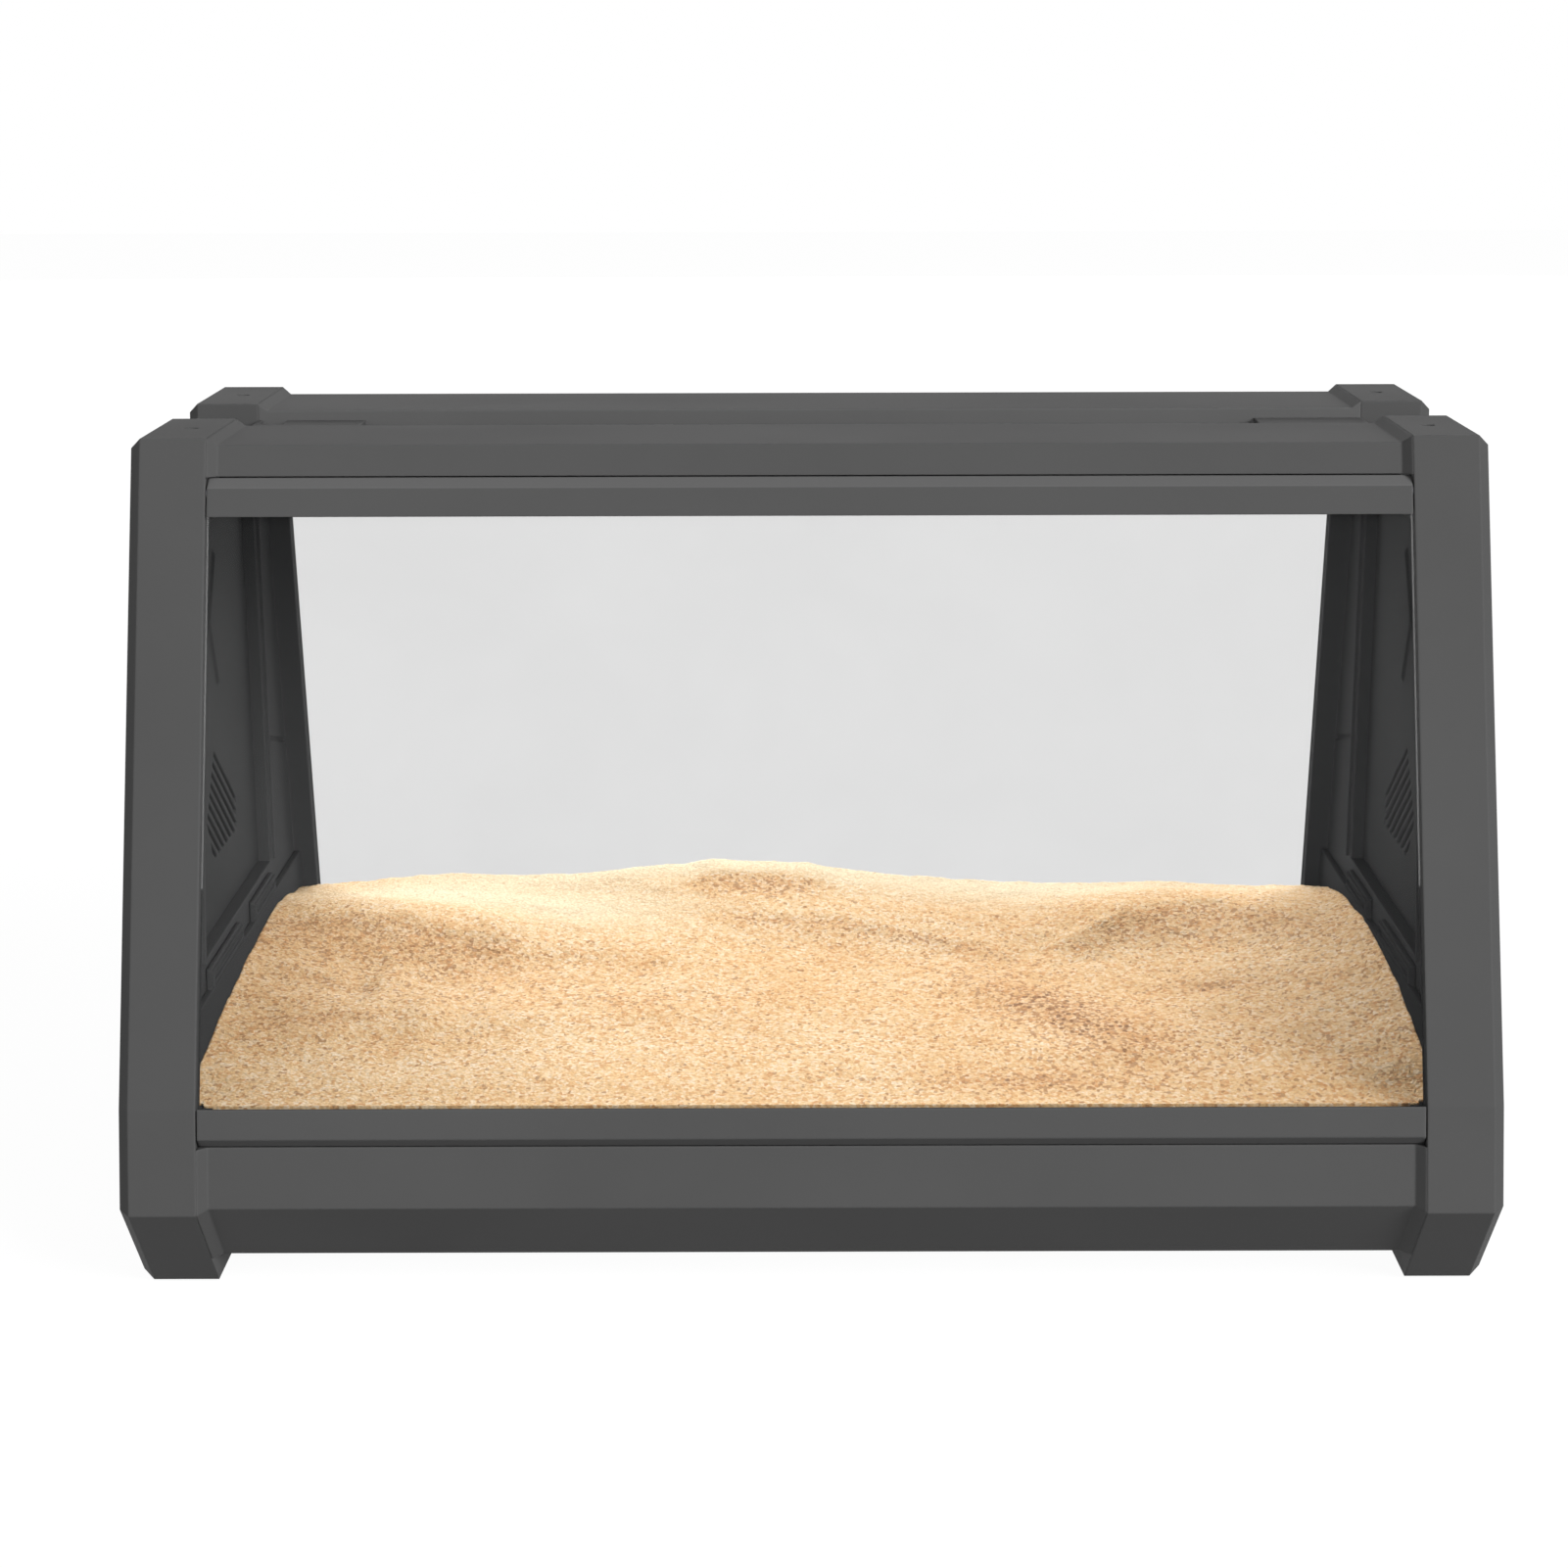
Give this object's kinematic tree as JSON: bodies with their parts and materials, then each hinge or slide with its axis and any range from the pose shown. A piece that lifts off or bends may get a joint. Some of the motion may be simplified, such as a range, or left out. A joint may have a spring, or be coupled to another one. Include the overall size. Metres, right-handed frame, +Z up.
{
  "type": "reptile terrarium",
  "caption": "Trapezoid terrarium with moulded end frames, a clear top-hinged front door, a clear rear window, a slotted roof hatch and a sand-filled base tray.",
  "frame": {"origin": "middle of the footprint, on the ground under the foot pads", "axes": "+X to the right seen from the front, +Y to the rear, +Z up; the front door faces -Y"},
  "size_m": [0.4, 0.2968, 0.25],
  "materials": {
    "shell": "fine moulded texture",
    "panel": "fine moulded texture",
    "clear": "clear cast acrylic, polished",
    "sand": "loose fine sand",
    "steel": "zinc plated",
    "magnet": "nickel plated",
    "rubber": "matt"
  },
  "bodies": {
    "enclosure": {"left_end_frame": "shell", "right_end_frame": "shell", "left_vent_panel": "panel", "right_vent_panel": "panel", "base_tray": "shell", "sand_bed": "sand", "front_top_rail": "shell", "rear_top_rail": "shell", "left_deck": "shell", "right_deck": "shell", "rear_window_head": "shell", "rear_window_pane": "clear", "rear_window_sill": "shell", "door_keepers": "steel", "left_frame_screws": "steel", "right_frame_screws": "steel", "left_foot_pads": "rubber", "right_foot_pads": "rubber"},
    "door": {"door_head": "shell", "door_pane": "clear", "door_sill": "shell", "door_magnets": "magnet", "door_hinge_pins": "steel"},
    "hatch": {"hatch_lid": "panel", "hatch_hinge_pins": "steel"}
  },
  "joints": [
    {"name": "door_hinge", "type": "hinge", "parent": "enclosure", "child": "door", "pos_m": [0, -0.08503, 0.234], "axis": [-1, 0, 0], "range_deg": [0, 95]},
    {"name": "hatch_hinge", "type": "hinge", "parent": "enclosure", "child": "hatch", "pos_m": [0, 0.0214, 0.2411], "axis": [-1, 0, 0], "range_deg": [0, 93]}
  ]
}
